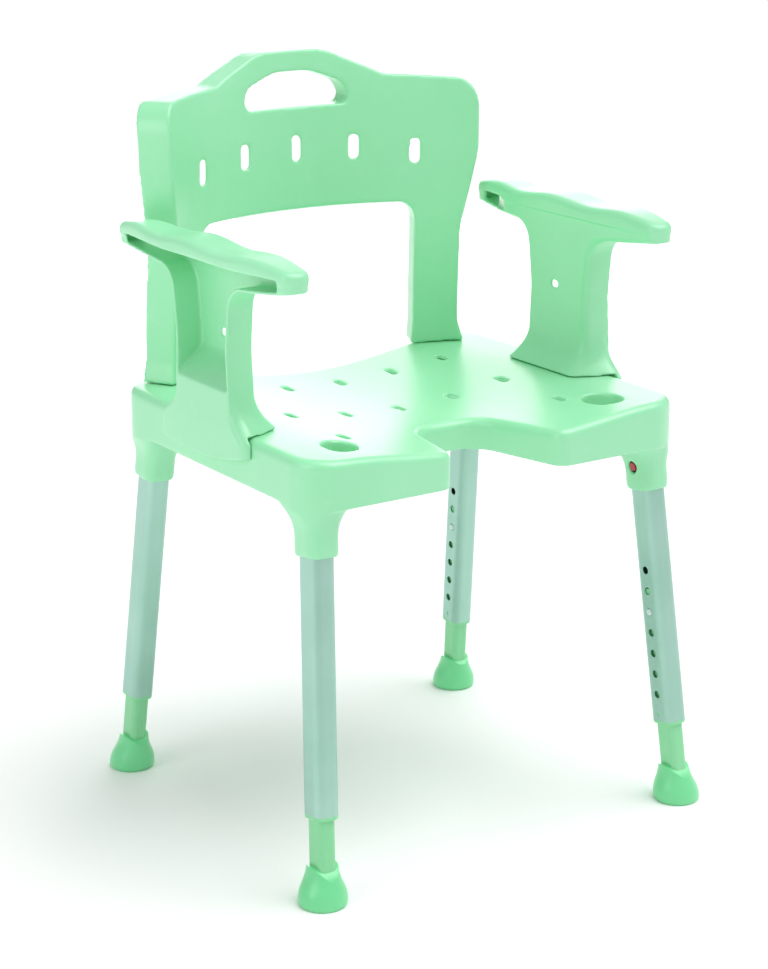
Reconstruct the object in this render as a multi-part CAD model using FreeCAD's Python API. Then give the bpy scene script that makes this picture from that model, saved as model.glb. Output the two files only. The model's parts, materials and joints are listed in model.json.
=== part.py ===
# Shower stool with a back support, two arm supports and four height-adjustable legs.
# Sizes are in millimetres. +Z is up, the sitter faces -Y, and +X is the sitter's left.

import math
import os

import FreeCAD
import Part

# Seat
SEAT_HALF_WIDTH = 248.0
SEAT_FRONT = -214.5
SEAT_REAR = 212.0
SEAT_REAR_MIDDLE = 174.0
SEAT_CORNER_RADIUS = 44.0
SEAT_RIM = 480.5
SEAT_APRON_LOW = 427.0
SEAT_EDGE_RADIUS = 9.0
SEAT_WALL = 4.0
SEAT_TOP_WALL = 4.5
NOTCH_HALF_MOUTH = 72.0
NOTCH_HALF_END = 42.0
NOTCH_END = -93.0
# height of the dish along the seat's middle line: (y, z)
DISH_MIDDLE = [(-235.0, 465.0), (-80.0, 460.8), (30.0, 460.2), (130.0, 464.5), (235.0, 471.0)]
# how much of the dish's depth is left at each distance from the middle line
DISH_SHARE = [(0.0, 1.0), (73.0, 0.8), (145.0, 0.34), (190.0, 0.07), (225.0, 0.0), (265.0, -0.1)]
SLOT_LENGTH = 21.0
SLOT_WIDTH = 7.5
SLOT_ROWS = [(117.0, (0.0, 73.0, 145.0)), (-7.0, (0.0, 73.0, 145.0)), (-115.0, (145.0,))]
OVAL_CENTRE = (175.5, -154.5)
OVAL_HALF_LENGTH = 24.0
OVAL_HALF_WIDTH = 19.0
OVAL_TURN = 20.0

# Legs: where each one meets the floor, and how far it leans for each millimetre of height
LEGS = {"front": ((245.6, -225.7), (-0.061, 0.116)), "back": ((238.8, 216.4), (-0.045, -0.124))}
TUBE_WIDTH = 29.0
TUBE_DEPTH = 35.0
TUBE_CORNER = 10.0
TUBE_WALL = 1.5
TUBE_LOW = 98.4
TUBE_TOP = 432.0
SOCKET_LOW = 376.0
SOCKET_CLEARANCE = 0.35
# outside of the socket along the leg: (distance from the floor, width, depth, corner radius)
SOCKET_SECTIONS = [
    (376.0, 37.0, 44.0, 14.0),
    (398.0, 38.6, 45.6, 14.5),
    (410.0, 42.0, 49.0, 16.0),
    (421.0, 50.0, 57.0, 18.0),
    (431.0, 63.0, 70.0, 22.0),
    (438.0, 74.0, 81.0, 25.0),
]
HOLE_COUNT = 7
HOLE_FIRST = 130.8
HOLE_PITCH = 25.0
HOLE_RADIUS = 4.6
HOLE_IN_USE = 4
INNER_WIDTH = 21.0
INNER_DEPTH = 28.0
INNER_CORNER = 7.0
INNER_WALL = 2.8
INNER_LOW = 5.0
INNER_TOP = 258.0
BUSH_LOW = 94.4
BUSH_TOP = 122.0
BUSH_CLEARANCE = 0.3
SNAP_RADIUS = 4.2
LOCK_HEIGHT = 404.0
LOCK_RADIUS = 5.0
LOCK_HOLE_RADIUS = 6.6

# Feet
FOOT_RADIUS = 26.8
FOOT_TOP = 43.0

# Back support
BACK_FRONT_RADIUS = 323.0
BACK_FRONT_CENTRE = -115.0
BACK_REAR_RADIUS = 412.0
BACK_REAR_CENTRE = -174.04
BACK_WALL = 4.0
BACK_SPREAD = 0.684 / 208.0
BACK_SPREAD_FROM = 131.0
# how far the back leans away above its middle: (z, lean)
BACK_LEAN = [(400.0, 0.0), (735.0, 0.0), (775.0, 2.5), (810.0, 8.0), (850.0, 16.0)]
# half of the outline, from the foot upward: (x, z, corner radius)
BACK_OUTSIDE = [
    (194.0, 440.0, 0.0),
    (190.0, 482.0, 14.0),
    (182.0, 505.0, 40.0),
    (184.0, 628.0, 150.0),
    (208.5, 716.0, 110.0),
    (208.5, 801.0, 34.0),
    (92.0, 809.0, 45.0),
    (38.0, 840.5, 80.0),
]
BACK_INSIDE = [(128.0, 655.0, 22.0), (128.0, 505.0, 60.0), (123.0, 440.0, 0.0)]
BACK_SLOTS = [(0.0, 728.0), (75.0, 725.0), (146.0, 717.5)]
BACK_SLOT_HEIGHT = 29.0
BACK_SLOT_WIDTH = 12.0
HANDLE = [(73.0, 776.0, 10.0), (68.0, 801.0, 20.0), (24.0, 817.0, 60.0)]
TONGUE_DEEP = 36.0

# Arm supports
ARM_WALL = 3.5
ARM_INSIDE = 222.0
ARM_OUTSIDE = 257.0
ARM_PAD_LOW = 661.0
ARM_PAD_HIGH = 690.0
ARM_PAD_RADIUS = 8.0
ARM_HOLLOW_TOP = 674.0
ARM_PAD_WALL = 5.5
# the hollow is open on its outer side between these two y values, and the pad's noses are closed
ARM_WINDOW = (-162.0, 152.0)
# plan outline of the pad: (x, y, corner radius)
ARM_PAD = [
    (219.0, -120.0, 300.0),
    (222.0, -181.0, 15.0),
    (253.0, -181.0, 17.0),
    (268.5, -95.0, 150.0),
    (270.5, 55.0, 170.0),
    (259.0, 172.0, 11.0),
    (235.0, 172.0, 10.0),
    (219.0, 70.0, 300.0),
]
# wavy top of the pad along its length: (y, z)
ARM_PAD_WAVE = [
    (195.0, 668.0),
    (165.0, 675.0),
    (118.0, 680.5),
    (76.0, 677.5),
    (10.0, 682.0),
    (-58.0, 677.5),
    (-112.0, 680.5),
    (-162.0, 675.5),
    (-196.0, 668.0),
]
# side outline of the post and of the two wings that carry the pad: (y, z, corner radius)
ARM_FRAME = [
    (-66.0, 500.0, 0.0),
    (-61.0, 570.0, 120.0),
    (-68.0, 638.0, 28.0),
    (-125.0, 644.0, 60.0),
    (-184.0, 652.0, 9.0),
    (-186.0, 690.0, 0.0),
    (178.0, 690.0, 0.0),
    (176.0, 652.0, 9.0),
    (106.0, 645.0, 60.0),
    (55.0, 640.0, 28.0),
    (46.0, 570.0, 120.0),
    (50.0, 500.0, 0.0),
]
ARM_FRAME_RADIUS = 8.0
# the hollow's sloping floor, seen from the front: (x, z, corner radius)
ARM_FLOOR = [
    (215.0, 490.0, 0.0),
    (215.0, 580.0, 0.0),
    (228.0, 552.0, 26.0),
    (264.0, 520.0, 0.0),
    (264.0, 490.0, 0.0),
]
ARM_HOLE = (-3.0, 577.0, 13.0, 8.0)
# base of the arm support: (z, inside x, outside x, inner rear y, inner front y, outer front y, outer rear y, radius)
ARM_BASE = [
    (545.0, 222.0, 257.0, 46.0, -62.0, -62.5, 47.0, 11.0),
    (520.0, 220.5, 257.2, 47.0, -64.0, -66.0, 51.0, 12.0),
    (500.0, 214.0, 257.6, 50.0, -66.0, -76.0, 61.0, 14.0),
    (487.0, 203.0, 258.0, 53.0, -67.0, -92.0, 79.0, 15.0),
    (476.0, 195.0, 258.0, 55.0, -68.0, -106.0, 96.0, 15.0),
]
ARM_SKIRT_LOW = 445.5
ARM_SKIRT_CURVE = 443.0
ARM_SKIRT_MIDDLE = 18.0
SEAT_GAP = 0.8

TOP_VIEW = "top"
FRONT_VIEW = "front"
SIDE_VIEW = "side"


def vector(x, y, z):
    return FreeCAD.Vector(x, y, z)


def point_in(view, a, b, level):
    """A point of a flat outline, placed in space."""
    if view == TOP_VIEW:
        return vector(a, b, level)
    if view == FRONT_VIEW:
        return vector(a, level, b)
    return vector(level, a, b)


def rounded_outline(corners, view, level):
    """A closed outline of straight lines whose corners are rounded."""
    starts = []
    edges = []
    count = len(corners)
    for i in range(count):
        ax, ay = corners[i - 1][0], corners[i - 1][1]
        px, py, radius = corners[i]
        bx, by = corners[(i + 1) % count][0], corners[(i + 1) % count][1]
        before = vector(ax - px, ay - py, 0)
        after = vector(bx - px, by - py, 0)
        before.normalize()
        after.normalize()
        half = before.getAngle(after) / 2
        corner = vector(px, py, 0)
        if radius == 0.0 or half > math.radians(89.95):
            starts.append((corner, corner))
            continue
        reach = radius / math.tan(half)
        middle = before + after
        middle.normalize()
        centre = corner + middle * (radius / math.sin(half))
        first = corner + before * reach
        last = corner + after * reach
        crest = centre - middle * radius
        starts.append((first, last))
        three = [point_in(view, p.x, p.y, level) for p in (first, crest, last)]
        edges.append(Part.Arc(*three).toShape())
    for i in range(count):
        last = starts[i - 1][1]
        first = starts[i][0]
        a = point_in(view, last.x, last.y, level)
        b = point_in(view, first.x, first.y, level)
        if a.distanceToPoint(b) > 1e-6:
            edges.append(Part.makeLine(a, b))
    return Part.Wire(Part.__sortEdges__(edges))


def shrunk(corners, distance):
    """The same outline, moved inward by a wall's thickness."""
    area = 0.0
    count = len(corners)
    for i in range(count):
        area += corners[i - 1][0] * corners[i][1] - corners[i][0] * corners[i - 1][1]
    turn = 1.0 if area > 0 else -1.0
    moved = []
    for i in range(count):
        ax, ay = corners[i - 1][0], corners[i - 1][1]
        px, py, radius = corners[i]
        bx, by = corners[(i + 1) % count][0], corners[(i + 1) % count][1]
        into = vector(px - ax, py - ay, 0)
        away = vector(bx - px, by - py, 0)
        into.normalize()
        away.normalize()
        n1 = vector(-into.y, into.x, 0) * turn
        n2 = vector(-away.y, away.x, 0) * turn
        step = (n1 + n2) * (distance / (1.0 + n1.dot(n2)))
        convex = (into.x * away.y - into.y * away.x) * turn > 0
        new_radius = radius
        if radius > 0.0:
            new_radius = max(radius - distance, 1.0) if convex else radius + distance
        moved.append((px + step.x, py + step.y, new_radius))
    return moved


def prism(corners, view, low, high):
    """A straight solid standing on an outline."""
    face = Part.Face(rounded_outline(corners, view, low))
    direction = point_in(view, 0.0, 0.0, high - low)
    return face.extrude(direction)


def rounded_box(width, depth, radius, low, high):
    """A rounded bar along the leg's own axis."""
    return prism(rectangle(width, depth, radius), TOP_VIEW, low, high)


def rectangle(width, depth, radius):
    x = width / 2
    y = depth / 2
    return [(x, -y, radius), (x, y, radius), (-x, y, radius), (-x, -y, radius)]


def loft(wires):
    return Part.makeLoft(wires, True, False)


def mirrored(shape):
    return shape.mirror(vector(0, 0, 0), vector(1, 0, 0))


def with_mirror(shape):
    return [shape, mirrored(shape)]


def top_edges(shape, above):
    return [edge for edge in shape.Edges if edge.BoundBox.ZMin > above]


def box(x0, x1, y0, y1, z0, z1):
    return Part.makeBox(x1 - x0, y1 - y0, z1 - z0, vector(x0, y0, z0))


def inward_rod(radius, start, end, height):
    """A round rod that points from the leg's axis toward the stool's middle."""
    return Part.makeCylinder(radius, end - start, vector(-start, 0, height), vector(-1, 0, 0))


def bent_strip(points, thickness, width):
    """A strip of spring steel bent along a line of (x, z) points."""
    sides = ([], [])
    for i, (x, z) in enumerate(points):
        before = points[max(i - 1, 0)]
        after = points[min(i + 1, len(points) - 1)]
        run = vector(after[0] - before[0], 0, after[1] - before[1])
        run.normalize()
        across = vector(-run.z, 0, run.x) * (thickness / 2)
        sides[0].append(vector(x, -width / 2, z) + across)
        sides[1].append(vector(x, -width / 2, z) - across)
    loop = sides[0] + sides[1][::-1]
    loop.append(loop[0])
    return Part.Face(Part.makePolygon(loop)).extrude(vector(0, width, 0))


def leg_placement(foot, lean):
    axis = vector(lean[0], lean[1], 1)
    axis.normalize()
    turn = FreeCAD.Rotation(vector(1, 0, 0), vector(0, 0, 0), axis, "ZXY")
    return FreeCAD.Placement(vector(foot[0], foot[1], 0), turn)


def placed(shape, placement):
    moved = shape.copy()
    moved.Placement = placement.multiply(moved.Placement)
    return moved


# Seat: a dished slab cut to the plan outline, hollow underneath, with a socket at each corner

def seat_section(y, middle, low):
    """One slice of the seat from side to side, with the dish on top."""
    half = [(x, SEAT_RIM - (SEAT_RIM - middle) * share) for x, share in DISH_SHARE]
    row = [vector(-x, y, z) for x, z in reversed(half[1:])] + [vector(x, y, z) for x, z in half]
    curve = Part.BSplineCurve()
    curve.interpolate(row)
    corner_a = vector(row[-1].x, y, low)
    corner_b = vector(row[0].x, y, low)
    sides = [
        Part.makeLine(row[-1], corner_a),
        Part.makeLine(corner_a, corner_b),
        Part.makeLine(corner_b, row[0]),
    ]
    return Part.Wire([curve.toShape()] + sides)


def seat_slab(low):
    return loft([seat_section(y, middle, low) for y, middle in DISH_MIDDLE])


def seat_outline():
    half = [
        (NOTCH_HALF_END, NOTCH_END, 42.0),
        (NOTCH_HALF_MOUTH, SEAT_FRONT, 16.0),
        (SEAT_HALF_WIDTH, SEAT_FRONT, SEAT_CORNER_RADIUS),
        (SEAT_HALF_WIDTH, SEAT_REAR, SEAT_CORNER_RADIUS),
    ]
    other = [(-x, y, r) for x, y, r in reversed(half)]
    return half + [(0.0, SEAT_REAR_MIDDLE, 420.0)] + other


def socket_outside():
    wires = []
    for height, width, depth, radius in SOCKET_SECTIONS:
        wires.append(rounded_outline(rectangle(width, depth, radius), TOP_VIEW, height))
    return loft(wires)


def socket_pocket():
    gap = 2 * SOCKET_CLEARANCE
    radius = TUBE_CORNER + SOCKET_CLEARANCE
    top = TUBE_TOP + SOCKET_CLEARANCE
    bore = rounded_box(TUBE_WIDTH + gap, TUBE_DEPTH + gap, radius, SOCKET_LOW - 12, top)
    return bore.fuse(inward_rod(LOCK_HOLE_RADIUS, 10.0, 46.0, LOCK_HEIGHT))


def oval(half_length, half_width, low, high):
    ring = Part.Ellipse(vector(0, 0, 0), half_length, half_width).toShape()
    solid = Part.Face(Part.Wire(ring)).extrude(vector(0, 0, high - low))
    turn = FreeCAD.Rotation(vector(0, 0, 1), 90.0 + OVAL_TURN)
    solid.Placement = FreeCAD.Placement(vector(OVAL_CENTRE[0], OVAL_CENTRE[1], low), turn)
    return solid


def seat_slots():
    slots = []
    for y, columns in SLOT_ROWS:
        for x in columns:
            slot = prism(rectangle(SLOT_WIDTH, SLOT_LENGTH, 3.5), TOP_VIEW, 430.0, 500.0)
            slot.translate(vector(x, y, 0))
            slots.append(slot)
            if x > 0:
                slots.append(mirrored(slot))
    return slots


def tongue_places():
    """Where the back support's and arm supports' tongues stand on the left half: centre and size."""
    return {"back": (172.0, 188.0, 22.0, 12.0), "arm": (213.0, -6.0, 14.0, 46.0)}


def tongue(name, extra, low, high):
    x, y, width, depth = tongue_places()[name]
    shape = rounded_box(width + 2 * extra, depth + 2 * extra, 3.0 + extra, low, high)
    shape.translate(vector(x, y, 0))
    return shape


def make_seat(slab):
    outline = seat_outline()
    body = slab.common(prism(outline, TOP_VIEW, 400.0, 520.0))
    body = body.makeFillet(SEAT_EDGE_RADIUS, top_edges(body, 440.0))
    lowered = slab.copy()
    lowered.translate(vector(0, 0, -SEAT_TOP_WALL))
    hollow = lowered.common(prism(shrunk(outline, SEAT_WALL), TOP_VIEW, 380.0, 520.0))
    shell = body.cut(hollow)
    ribs = [
        box(-112.0, -109.0, -220.0, 220.0, 436.0, 500.0),
        box(109.0, 112.0, -220.0, 220.0, 436.0, 500.0),
        box(-250.0, 250.0, -66.0, -63.0, 436.0, 500.0),
        box(-250.0, 250.0, 58.0, 61.0, 436.0, 500.0),
    ]
    added = [rib.common(hollow) for rib in ribs]
    clip = prism(outline, TOP_VIEW, 340.0, 466.0)
    pockets = []
    for foot, lean in LEGS.values():
        placement = leg_placement(foot, lean)
        added += with_mirror(placed(socket_outside(), placement).common(clip))
        pockets += with_mirror(placed(socket_pocket(), placement))
    for name in tongue_places():
        well = tongue(name, 3.5, SEAT_RIM - TONGUE_DEEP - 6.0, 520.0).common(hollow)
        added += with_mirror(well)
        pockets += with_mirror(tongue(name, 0.4, SEAT_RIM - TONGUE_DEEP - 2.5, 520.0))
    ring = oval(OVAL_HALF_LENGTH + 3.0, OVAL_HALF_WIDTH + 3.0, 444.0, 520.0).common(hollow)
    added += with_mirror(ring)
    pockets += with_mirror(oval(OVAL_HALF_LENGTH, OVAL_HALF_WIDTH, 380.0, 520.0))
    shell = shell.fuse(added)
    return shell.cut(pockets + seat_slots()).removeSplitter()


# Back support: one shell, hollow behind, on two uprights

def turned_profile(radius, centre, extra):
    """A solid of revolution that follows the back's lean."""
    edge = [vector(radius + lean + extra, 0, z) for z, lean in BACK_LEAN]
    curve = Part.BSplineCurve()
    curve.interpolate(edge)
    low = vector(0, 0, edge[0].z)
    high = vector(0, 0, edge[-1].z)
    lines = [Part.makeLine(edge[-1], high), Part.makeLine(high, low), Part.makeLine(low, edge[0])]
    face = Part.Face(Part.Wire([curve.toShape()] + lines))
    solid = face.revolve(vector(0, 0, 0), vector(0, 0, 1), 360)
    solid.translate(vector(0, centre, 0))
    return solid


def spread_prism(corners):
    """A solid whose outline grows wider toward the rear."""
    wires = []
    for level in (60.0, 330.0):
        scale = 1.0 + BACK_SPREAD * (level - BACK_SPREAD_FROM)
        wider = [(x * scale, z, radius) for x, z, radius in corners]
        wires.append(rounded_outline(wider, FRONT_VIEW, level))
    return Part.makeLoft(wires, True, True)


def back_outline():
    left = BACK_OUTSIDE
    right = [(-x, z, r) for x, z, r in reversed(BACK_OUTSIDE)]
    inner_left = BACK_INSIDE
    inner_right = [(-x, z, r) for x, z, r in reversed(BACK_INSIDE)]
    return left + right + inner_right + inner_left


def make_back(slab):
    outline = back_outline()
    front = turned_profile(BACK_FRONT_RADIUS, BACK_FRONT_CENTRE, 0.0)
    front_deeper = turned_profile(BACK_FRONT_RADIUS, BACK_FRONT_CENTRE, BACK_WALL)
    rear = turned_profile(BACK_REAR_RADIUS, BACK_REAR_CENTRE, 0.0)
    outer = spread_prism(outline).cut(front).common(rear)
    inner = spread_prism(shrunk(outline, BACK_WALL)).cut(front_deeper)
    foot_block = outer.common(box(-300.0, 300.0, 0.0, 400.0, 400.0, 492.0))
    handle = HANDLE + [(-x, z, r) for x, z, r in reversed(HANDLE)]
    handle_wall = prism(shrunk(handle, -BACK_WALL), FRONT_VIEW, 100.0, 330.0).common(outer)
    shell = outer.cut(inner)
    for x, z in BACK_SLOTS:
        slot = prism(rectangle(BACK_SLOT_WIDTH, BACK_SLOT_HEIGHT, 5.6), FRONT_VIEW, 100.0, 330.0)
        slot.translate(vector(x, 0, z))
        for each in with_mirror(slot) if x > 0 else [slot]:
            shell = shell.cut(each)
    shell = shell.fuse(foot_block).fuse(handle_wall)
    raised = slab.copy()
    raised.translate(vector(0, 0, SEAT_GAP))
    shell = shell.cut(prism(handle, FRONT_VIEW, 100.0, 330.0)).cut(raised)
    tongues = with_mirror(tongue("back", 0.0, SEAT_RIM - TONGUE_DEEP, 490.0))
    return shell.fuse(tongues).removeSplitter()


# Arm support: a pad on a post that is open on its outer side, with a base that wraps the seat's edge

def arm_base_section(row):
    z, inside, outside, inner_rear, inner_front, outer_front, outer_rear, radius = row
    corners = [
        (inside, inner_front, radius),
        (outside, outer_front, radius * 0.8),
        (outside, outer_rear, radius * 0.8),
        (inside, inner_rear, radius),
    ]
    return corners, z


def under_wave(lowered):
    """Everything below the pad's wavy top, or below the same wave moved down."""
    wave = Part.BSplineCurve()
    wave.interpolate([vector(200.0, y, z - lowered) for y, z in ARM_PAD_WAVE])
    start = vector(200.0, ARM_PAD_WAVE[0][0], ARM_PAD_LOW - 200.0)
    end = vector(200.0, ARM_PAD_WAVE[-1][0], ARM_PAD_LOW - 200.0)
    sides = [
        Part.makeLine(wave.EndPoint, end),
        Part.makeLine(end, start),
        Part.makeLine(start, wave.StartPoint),
    ]
    return Part.Face(Part.Wire([wave.toShape()] + sides)).extrude(vector(100.0, 0, 0))


def arm_pad():
    """The pad: a thick plate with a wavy top and rounded upper edges."""
    plate = prism(ARM_PAD, TOP_VIEW, ARM_PAD_LOW, ARM_PAD_HIGH).common(under_wave(0.0))
    return plate.makeFillet(ARM_PAD_RADIUS, top_edges(plate, ARM_PAD_LOW + 3.0))


def arm_hollow():
    """The hollow that is open on the outer side, from the pad down to the sloping floor."""
    room = prism(shrunk(ARM_FRAME, ARM_WALL), SIDE_VIEW, ARM_INSIDE + ARM_WALL, ARM_OUTSIDE + 30.0)
    front, rear = ARM_WINDOW
    below = box(200.0, 300.0, front, rear, 480.0, ARM_PAD_LOW + 3.0)
    within = prism(shrunk(ARM_PAD, ARM_PAD_WALL), TOP_VIEW, ARM_PAD_LOW - 10.0, ARM_HOLLOW_TOP)
    floor = prism([(x, z, r) for x, z, r in ARM_FLOOR], FRONT_VIEW, -100.0, 100.0)
    return room.common(below.fuse(within)).common(under_wave(ARM_PAD_WALL)).cut(floor)


def make_arm(slab):
    pad = arm_pad()
    frame = prism(ARM_FRAME, SIDE_VIEW, ARM_INSIDE, ARM_OUTSIDE)
    inner_edges = [edge for edge in frame.Edges if edge.BoundBox.XMax < ARM_INSIDE + 0.1]
    frame = frame.makeFillet(ARM_FRAME_RADIUS, inner_edges)
    frame = frame.common(prism(shrunk(ARM_PAD, 1.0), TOP_VIEW, 490.0, ARM_PAD_LOW + 4.0))
    wires = []
    for row in ARM_BASE:
        corners, z = arm_base_section(row)
        wires.append(rounded_outline(corners, TOP_VIEW, z))
    base = loft(wires)
    corners, z = arm_base_section(ARM_BASE[-1])
    skirt = prism(corners, TOP_VIEW, 430.0, z)
    curve_centre = vector(150.0, ARM_SKIRT_MIDDLE, ARM_SKIRT_LOW + ARM_SKIRT_CURVE)
    round_end = Part.makeCylinder(ARM_SKIRT_CURVE, 150.0, curve_centre, vector(1, 0, 0))
    skirt = skirt.common(round_end)
    seat_room = slab.common(prism(shrunk(seat_outline(), -SEAT_GAP), TOP_VIEW, 400.0, 520.0))
    seat_room.translate(vector(0, 0, SEAT_GAP))
    inside_room = box(100.0, SEAT_HALF_WIDTH + SEAT_GAP, -200.0, 200.0, 400.0, 470.0)
    body = base.fuse([skirt, frame, pad])
    body = body.cut([arm_hollow(), seat_room, inside_room])
    y, z, width, height = ARM_HOLE
    hole = prism(rectangle(width, height, 3.8), SIDE_VIEW, 210.0, 240.0)
    hole.translate(vector(0, y, z))
    body = body.cut(hole)
    whole = body.fuse(tongue("arm", 0.0, SEAT_RIM - TONGUE_DEEP, 486.0)).removeSplitter()
    return max(whole.Solids, key=lambda solid: solid.Volume)


# One leg, standing along its own axis with the floor at 0

def make_tube():
    radius = TUBE_CORNER - TUBE_WALL
    tube = rounded_box(TUBE_WIDTH, TUBE_DEPTH, TUBE_CORNER, TUBE_LOW, TUBE_TOP)
    bore = rounded_box(TUBE_WIDTH - 2 * TUBE_WALL, TUBE_DEPTH - 2 * TUBE_WALL, radius, 0.0, 500.0)
    cuts = [bore, inward_rod(LOCK_RADIUS + 0.25, 9.0, 20.0, LOCK_HEIGHT)]
    cuts.append(inward_rod(2.0, 9.0, 20.0, TUBE_LOW + 9.0))
    for i in range(HOLE_COUNT):
        cuts.append(inward_rod(HOLE_RADIUS, 9.0, 20.0, HOLE_FIRST + i * HOLE_PITCH))
    return tube.cut(cuts)


def make_bush():
    inside = TUBE_WALL + 0.05
    collar = rounded_box(TUBE_WIDTH, TUBE_DEPTH, TUBE_CORNER, BUSH_LOW, TUBE_LOW)
    collar = collar.makeFillet(1.2, [e for e in collar.Edges if e.BoundBox.ZMax < BUSH_LOW + 0.1])
    width = TUBE_WIDTH - 2 * inside
    depth = TUBE_DEPTH - 2 * inside
    sleeve = rounded_box(width, depth, TUBE_CORNER - inside, TUBE_LOW - 0.5, BUSH_TOP)
    peg = inward_rod(1.9, 11.0, TUBE_WIDTH / 2 - 0.3, TUBE_LOW + 9.0)
    gap = BUSH_CLEARANCE
    bore = rounded_box(INNER_WIDTH + 2 * gap, INNER_DEPTH + 2 * gap, INNER_CORNER + gap, 80.0, 140.0)
    return collar.fuse([sleeve, peg]).cut(bore).removeSplitter()


def make_inner_leg():
    leg = rounded_box(INNER_WIDTH, INNER_DEPTH, INNER_CORNER, INNER_LOW, INNER_TOP)
    guide_gap = TUBE_WALL + 0.3
    width = TUBE_WIDTH - 2 * guide_gap
    depth = TUBE_DEPTH - 2 * guide_gap
    guide = rounded_box(width, depth, TUBE_CORNER - guide_gap, INNER_TOP - 9.0, INNER_TOP)
    wall = 2 * INNER_WALL
    radius = INNER_CORNER - INNER_WALL
    bore = rounded_box(INNER_WIDTH - wall, INNER_DEPTH - wall, radius, INNER_LOW + 4.0, INNER_TOP + 9.0)
    hole = inward_rod(SNAP_RADIUS + 0.25, 4.0, 20.0, hole_height())
    return leg.fuse(guide).cut([bore, hole]).removeSplitter()


def hole_height():
    return HOLE_FIRST + HOLE_IN_USE * HOLE_PITCH


def make_button(radius, flange_radius, flange_at, tip, height, crown):
    """A round button with a flange that keeps it in the tube."""
    stem = inward_rod(radius, flange_at, tip, height)
    rim = [edge for edge in stem.Edges if edge.BoundBox.XMax < -tip + 0.1]
    stem = stem.makeFillet(crown, rim)
    flange = inward_rod(flange_radius, flange_at - 1.2, flange_at, height)
    return stem.fuse(flange).removeSplitter()


def make_snap_button():
    flange_at = INNER_WIDTH / 2 - INNER_WALL - 0.15
    return make_button(SNAP_RADIUS, 5.6, flange_at, TUBE_WIDTH / 2 + 1.4, hole_height(), 1.8)


def make_lock_button():
    flange_at = TUBE_WIDTH / 2 - TUBE_WALL - 0.15
    return make_button(LOCK_RADIUS, 6.8, flange_at, 19.4, LOCK_HEIGHT, 1.2)


def make_snap_spring():
    t = hole_height()
    points = [(-5.6, t + 8), (-5.6, t - 8), (-1.8, t - 33), (0.2, t - 37), (2.6, t - 33)]
    points += [(7.1, t - 4), (7.1, t + 8)]
    return bent_strip(points, 0.6, 8.0)


def make_lock_spring():
    t = LOCK_HEIGHT
    points = [(-11.0, t + 9), (-11.0, t - 9), (-3.4, t - 31), (-0.6, t - 35), (2.6, t - 31)]
    points += [(12.4, t - 4), (12.4, t + 9)]
    return bent_strip(points, 0.8, 10.0)


def make_foot(foot, lean):
    """A flared rubber foot, flat on the floor while its socket follows the leg."""
    rings = [
        (0.0, 24.6, 24.6),
        (2.2, 26.4, 26.4),
        (8.0, FOOT_RADIUS, FOOT_RADIUS),
        (15.0, 25.4, 26.0),
        (24.0, 21.4, 23.4),
        (34.0, 17.6, 20.6),
        (FOOT_TOP + 4.0, 15.2, 18.6),
    ]
    wires = []
    for height, half_width, half_depth in rings:
        centre = vector(foot[0] + lean[0] * height, foot[1] + lean[1] * height, height)
        major = vector(centre.x, centre.y + half_depth + 0.001, centre.z)
        minor = vector(centre.x + half_width, centre.y, centre.z)
        wires.append(Part.Wire(Part.Ellipse(major, minor, centre).toShape()))
    body = loft(wires)
    saddle_radius = 27.0
    middle = foot[1] + lean[1] * FOOT_TOP
    saddle_centre = vector(foot[0] - 40.0, middle, FOOT_TOP - saddle_radius)
    saddle = Part.makeCylinder(saddle_radius, 80.0, saddle_centre, vector(1, 0, 0))
    above = box(foot[0] - 40.0, foot[0] + 40.0, middle - 50.0, middle + 50.0, 22.0, 80.0)
    body = body.cut(above.cut(saddle))
    pocket = rounded_box(INNER_WIDTH + 0.2, INNER_DEPTH + 0.2, INNER_CORNER + 0.1, INNER_LOW - 0.1, 90.0)
    return body.cut(placed(pocket, leg_placement(foot, lean)))


def export(name, shape):
    if shape.ShapeType != "Solid" and len(shape.Solids) == 1:
        shape = shape.Solids[0]
    box_now = shape.BoundBox
    text = f"{name:28s} valid {shape.isValid()} solids {len(shape.Solids)} volume {shape.Volume / 1000:9.1f} cm3"
    print(text, f"z {box_now.ZMin:7.1f} to {box_now.ZMax:7.1f}", flush=True)
    shape.exportStep(os.path.join("parts", name + ".step"))


def export_pair(name, shape):
    export(name + "_left", shape)
    export(name + "_right", mirrored(shape))


def main():
    os.makedirs("parts", exist_ok=True)
    slab = seat_slab(SEAT_APRON_LOW)
    export("seat", make_seat(slab))
    deep_slab = seat_slab(300.0)
    export("back_support", make_back(deep_slab))
    export_pair("arm_support", make_arm(slab))
    for end, (foot, lean) in LEGS.items():
        placement = leg_placement(foot, lean)
        export_pair(f"leg_tube_{end}", placed(make_tube(), placement))
        export_pair(f"guide_bush_{end}", placed(make_bush(), placement))
        export_pair(f"leg_extension_{end}", placed(make_inner_leg(), placement))
        export_pair(f"foot_{end}", make_foot(foot, lean))
        export_pair(f"height_button_{end}", placed(make_snap_button(), placement))
        export_pair(f"height_spring_{end}", placed(make_snap_spring(), placement))
        export_pair(f"lock_button_{end}", placed(make_lock_button(), placement))
        export_pair(f"lock_spring_{end}", placed(make_lock_spring(), placement))


main()
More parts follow.
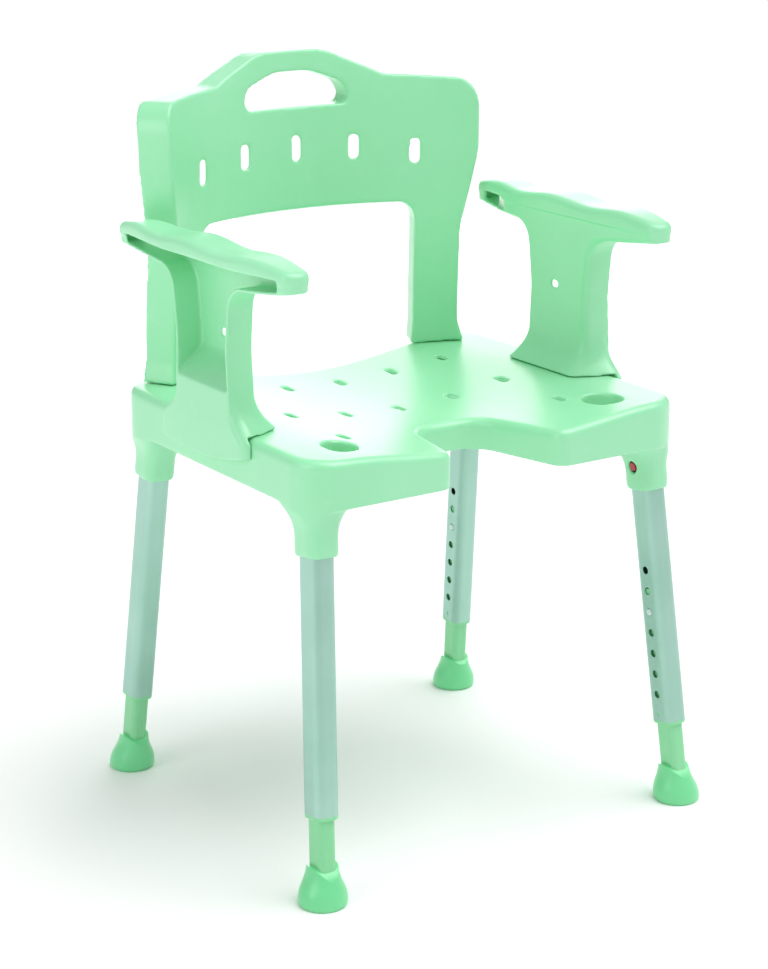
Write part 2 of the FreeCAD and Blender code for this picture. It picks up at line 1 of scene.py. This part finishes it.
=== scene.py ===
import json
import math
import bmesh
import bpy
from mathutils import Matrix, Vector

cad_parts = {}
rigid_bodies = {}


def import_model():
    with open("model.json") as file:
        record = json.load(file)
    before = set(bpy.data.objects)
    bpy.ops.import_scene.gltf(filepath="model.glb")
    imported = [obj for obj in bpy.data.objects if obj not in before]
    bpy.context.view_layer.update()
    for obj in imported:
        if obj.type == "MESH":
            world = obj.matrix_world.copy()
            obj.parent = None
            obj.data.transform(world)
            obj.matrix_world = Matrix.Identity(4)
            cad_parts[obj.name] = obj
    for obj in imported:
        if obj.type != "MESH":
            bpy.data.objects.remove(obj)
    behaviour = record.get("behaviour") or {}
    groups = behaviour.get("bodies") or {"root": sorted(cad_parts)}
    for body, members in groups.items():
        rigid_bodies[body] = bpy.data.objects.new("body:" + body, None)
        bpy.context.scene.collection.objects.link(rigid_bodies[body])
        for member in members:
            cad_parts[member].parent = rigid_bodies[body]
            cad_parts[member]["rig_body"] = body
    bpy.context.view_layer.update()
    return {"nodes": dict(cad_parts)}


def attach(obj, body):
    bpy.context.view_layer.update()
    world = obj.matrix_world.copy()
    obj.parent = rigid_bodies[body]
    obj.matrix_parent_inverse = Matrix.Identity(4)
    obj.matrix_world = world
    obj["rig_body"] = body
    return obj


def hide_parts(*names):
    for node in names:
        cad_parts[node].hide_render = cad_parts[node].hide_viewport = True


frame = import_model()
nodes = frame["nodes"]
print("frame loaded:", len(nodes), "nodes")


class Wire:  # a shader socket that can be added, multiplied and mixed like a number
    def __init__(self, tree, socket):
        self.tree = tree
        self.socket = socket

    def feed(self, socket, value):
        if isinstance(value, Wire):
            self.tree.links.new(value.socket, socket)
        else:
            socket.default_value = value

    def node(self, kind, settings, sockets, result=0):
        made = self.tree.nodes.new(kind)
        for name, value in settings.items():
            setattr(made, name, value)
        for name, value in sockets.items():
            self.feed(made.inputs[name], value)
        return Wire(self.tree, made.outputs[result])

    def sum(self, operation, first, second):
        return self.node("ShaderNodeMath", {"operation": operation}, {0: first, 1: second})

    def __add__(self, other):
        return self.sum("ADD", self, other)

    def __radd__(self, other):
        return self.sum("ADD", other, self)

    def __sub__(self, other):
        return self.sum("SUBTRACT", self, other)

    def __rsub__(self, other):
        return self.sum("SUBTRACT", other, self)

    def __mul__(self, other):
        return self.sum("MULTIPLY", self, other)

    def __rmul__(self, other):
        return self.sum("MULTIPLY", other, self)

    def clamp(self):
        return self.sum("MINIMUM", self.sum("MAXIMUM", self, 0.0), 1.0)

    def noise(self, scale, detail, roughness=0.5):
        values = {"Vector": self, "Scale": scale, "Detail": detail, "Roughness": roughness}
        return self.node("ShaderNodeTexNoise", {}, values, "Fac")

    def mix(self, first, second):  # this wire is the share of the second colour
        first, second = ((*c, 1.0) if isinstance(c, tuple) else c for c in (first, second))
        values = {0: self, 6: first, 7: second}  # sockets 6 and 7 are the two colours
        return self.node("ShaderNodeMix", {"data_type": "RGBA"}, values, 2)

    def bump(self, strength, distance):
        values = {"Height": self, "Strength": strength, "Distance": distance}
        return self.node("ShaderNodeBump", {}, values, "Normal")


def newMaterial(name, fixed):
    material = bpy.data.materials.new(name)
    material.use_nodes = True
    shader = material.node_tree.nodes["Principled BSDF"]
    for socket, value in fixed.items():
        shader.inputs[socket].default_value = value
    place = material.node_tree.nodes.new("ShaderNodeTexCoord")
    return material, shader.inputs, Wire(material.node_tree, place.outputs["Object"])


def mouldedPlastic(name, look):  # polypropylene with slight clouds, a fine grain and a few scuffs
    fixed = {
        "IOR": 1.49, "Specular IOR Level": look["gloss"], "Coat Weight": look["coat"],
        "Coat Roughness": 0.3, "Subsurface Weight": look["softness"],
        "Subsurface Radius": (0.6, 1.0, 0.7), "Subsurface Scale": 0.004,
    }
    material, sockets, place = newMaterial(name, fixed)
    cloud = place.noise(look["cloudScale"], 3.0)
    grain = place.noise(look["grainScale"], 2.0, 0.6)
    scuff = place.noise(look["scuffScale"], 6.0, 0.7)
    wear = ((scuff - 0.56) * 6.0).clamp()
    tint = ((cloud - 0.35) * 2.2).clamp().mix(look["deep"], look["light"])
    place.feed(sockets["Base Color"], (wear * look["wornShare"]).mix(tint, look["worn"]))
    place.feed(sockets["Roughness"], look["roughness"] + (cloud - 0.5) * 0.10 + wear * 0.08)
    relief = (grain + wear * 0.4).bump(look["grainStrength"], look["grainDepth"])
    place.feed(sockets["Normal"], relief)
    return material


def drawnMetal(name, look):  # aluminium tube with fine lines along its length
    material, sockets, place = newMaterial(name, {"Metallic": look["metal"]})
    along = place.node("ShaderNodeMapping", {}, {"Vector": place, "Scale": look["stretch"]})
    lines = along.noise(look["lineScale"], 3.0, 0.6)
    haze = place.noise(14.0, 3.0)
    tint = ((haze - 0.3) * 1.6).clamp().mix(look["deep"], look["light"])
    place.feed(sockets["Base Color"], tint)
    place.feed(sockets["Roughness"], look["roughness"] + (lines - 0.5) * 0.16 + (haze - 0.5) * 0.06)
    place.feed(sockets["Normal"], lines.bump(0.12, 0.0002))
    return material


shellLook = {
    "deep": (0.31, 0.80, 0.45), "light": (0.37, 0.85, 0.52),
    "worn": (0.70, 0.95, 0.80), "wornShare": 0.10,
    "cloudScale": 5.0, "grainScale": 1400.0, "scuffScale": 45.0,
    "roughness": 0.36, "gloss": 0.6, "coat": 0.5,
    "grainStrength": 0.10, "grainDepth": 0.0003, "softness": 0.12,
}
legLook = dict(
    shellLook, deep=(0.23, 0.68, 0.33), light=(0.27, 0.74, 0.38), coat=0.2, softness=0.06,
)
footLook = dict(
    shellLook, deep=(0.16, 0.70, 0.30), light=(0.20, 0.76, 0.35), worn=(0.30, 0.72, 0.45),
    roughness=0.34, gloss=0.5, grainScale=700.0, softness=0.05,
)
redLook = dict(
    shellLook, deep=(0.48, 0.004, 0.02), light=(0.55, 0.008, 0.03), worn=(0.6, 0.1, 0.1),
    roughness=0.28, gloss=0.5, softness=0.0,
)
paleLook = dict(
    shellLook, deep=(0.62, 0.78, 0.72), light=(0.72, 0.84, 0.80), worn=(0.8, 0.85, 0.85),
    roughness=0.30, softness=0.0,
)
tubeLook = {
    "deep": (0.34, 0.58, 0.48), "light": (0.44, 0.67, 0.59),
    "metal": 0.8, "roughness": 0.36, "lineScale": 900.0, "stretch": (1.0, 1.0, 0.02),
}
springLook = {
    "deep": (0.50, 0.51, 0.53), "light": (0.62, 0.64, 0.66),
    "metal": 1.0, "roughness": 0.30, "lineScale": 500.0, "stretch": (1.0, 1.0, 0.1),
}

shellPlastic = mouldedPlastic("mintShell", shellLook)
legPlastic = mouldedPlastic("mintLegPlastic", legLook)
springSteel = drawnMetal("springSteel", springLook)
finishes = {
    "seat": shellPlastic, "back_support": shellPlastic, "arm_support": shellPlastic,
    "leg_tube": drawnMetal("anodisedTube", tubeLook),
    "guide_bush": legPlastic, "leg_extension": legPlastic,
    "foot": mouldedPlastic("mintRubber", footLook),
    "height_spring": springSteel, "lock_spring": springSteel,
    "height_button": mouldedPlastic("paleButton", paleLook),
    "lock_button": mouldedPlastic("redButton", redLook),
}
for name, piece in nodes.items():
    start = max((key for key in finishes if name.startswith(key)), key=len)
    piece.data.materials.clear()
    piece.data.materials.append(finishes[start])
print("finishes set")


# the big mouldings have soft rounded edges: an even skin over the merged shape, then relaxed
softening = {
    "seat": {"voxel": 0.0022, "relax": 5, "keep": 0.36},
    "back_support": {"voxel": 0.0020, "relax": 9, "keep": 0.60},
    "arm_support_left": {"voxel": 0.0015, "relax": 7, "keep": 0.60},
    "arm_support_right": {"voxel": 0.0015, "relax": 7, "keep": 0.60},
}


def softMoulding(name, look):
    sheet = bmesh.new()
    sheet.from_mesh(nodes[name].data)
    bmesh.ops.remove_doubles(sheet, verts=sheet.verts, dist=0.00002)
    mesh = bpy.data.meshes.new(name + "Rough")
    sheet.to_mesh(mesh)
    sheet.free()
    piece = bpy.data.objects.new(name + "Moulding", mesh)
    bpy.context.scene.collection.objects.link(piece)
    skin = piece.modifiers.new("evenSkin", "REMESH")
    skin.mode = "VOXEL"
    skin.voxel_size = look["voxel"]
    relax = piece.modifiers.new("relax", "SMOOTH")
    relax.factor = 0.5
    relax.iterations = look["relax"]
    piece.modifiers.new("thin", "DECIMATE").ratio = look["keep"]
    graph = bpy.context.evaluated_depsgraph_get()
    finished = bpy.data.meshes.new_from_object(piece.evaluated_get(graph))
    piece.modifiers.clear()
    piece.data = finished
    bpy.data.meshes.remove(mesh)
    for face in finished.polygons:
        face.use_smooth = True
    finished.materials.clear()
    finished.materials.append(shellPlastic)
    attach(piece, nodes[name]["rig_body"])
    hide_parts(name)
    print(piece.name, "has", len(finished.polygons), "faces")
    return piece


for name, look in softening.items():
    softMoulding(name, look)
print("mouldings made")


# studio: white floor and sky, a broad soft light overhead and weaker ones beside and behind
studio = {
    "floorColour": 0.94, "floorSize": 60.0, "sky": 0.50, "aim": (0.0, 0.0, 0.48),
    "sunPower": 2.05, "sunSpread": 48.0, "sunFrom": (0.30, -0.22, 1.0),
    "sidePower": 16.0, "sideSize": 1.8, "sideFrom": (-2.8, -0.2, 1.5),
    "rearPower": 34.0, "rearSize": 2.6, "rearFrom": (1.9, 2.9, 1.1),
}


def makeFloor():
    mesh = bpy.data.meshes.new("studioFloor")
    sheet = bmesh.new()
    bmesh.ops.create_grid(sheet, x_segments=1, y_segments=1, size=studio["floorSize"])
    sheet.to_mesh(mesh)
    sheet.free()
    floor = bpy.data.objects.new("studioFloor", mesh)
    bpy.context.scene.collection.objects.link(floor)
    shade = studio["floorColour"]
    fixed = {"Base Color": (shade, shade, shade, 1.0), "Specular IOR Level": 0.1}
    material, sockets, place = newMaterial("paleFloor", fixed)
    place.feed(sockets["Roughness"], 0.88 + place.noise(3.0, 2.0) * 0.05)
    mesh.materials.append(material)


def makeLamp(name, kind, spot, aim, power):
    data = bpy.data.lights.new(name, kind)
    data.energy = power
    lamp = bpy.data.objects.new(name, data)
    lamp.location = spot
    lamp.rotation_euler = (Vector(aim) - Vector(spot)).to_track_quat("-Z", "Y").to_euler()
    bpy.context.scene.collection.objects.link(lamp)
    return data


makeFloor()
sun = makeLamp("overheadLight", "SUN", studio["sunFrom"], (0.0, 0.0, 0.0), studio["sunPower"])
sun.angle = math.radians(studio["sunSpread"])
for side in ("side", "rear"):
    box = makeLamp(side + "Light", "AREA", studio[side + "From"], studio["aim"], studio[side + "Power"])
    box.shape = "DISK"
    box.size = studio[side + "Size"]
world = bpy.data.worlds.new("studioSky")
world.use_nodes = True
sky = world.node_tree.nodes["Background"].inputs
sky["Color"].default_value = (1.0, 1.0, 1.0, 1.0)
sky["Strength"].default_value = studio["sky"]
bpy.context.scene.world = world
bpy.context.scene.view_settings.view_transform = "Standard"
print("studio lit")


view = {"lens": 89.86, "from": (-1.4944, -2.2033, 1.1689), "down": 16.75, "turn": -33.86}
cameraData = bpy.data.cameras.new("camera")
cameraData.lens = view["lens"]
cameraData.sensor_width = 36.0
camera = bpy.data.objects.new("camera", cameraData)
camera.location = view["from"]
camera.rotation_euler = (math.radians(90.0 - view["down"]), 0.0, math.radians(view["turn"]))
bpy.context.scene.collection.objects.link(camera)
bpy.context.scene.camera = camera
print("camera set")
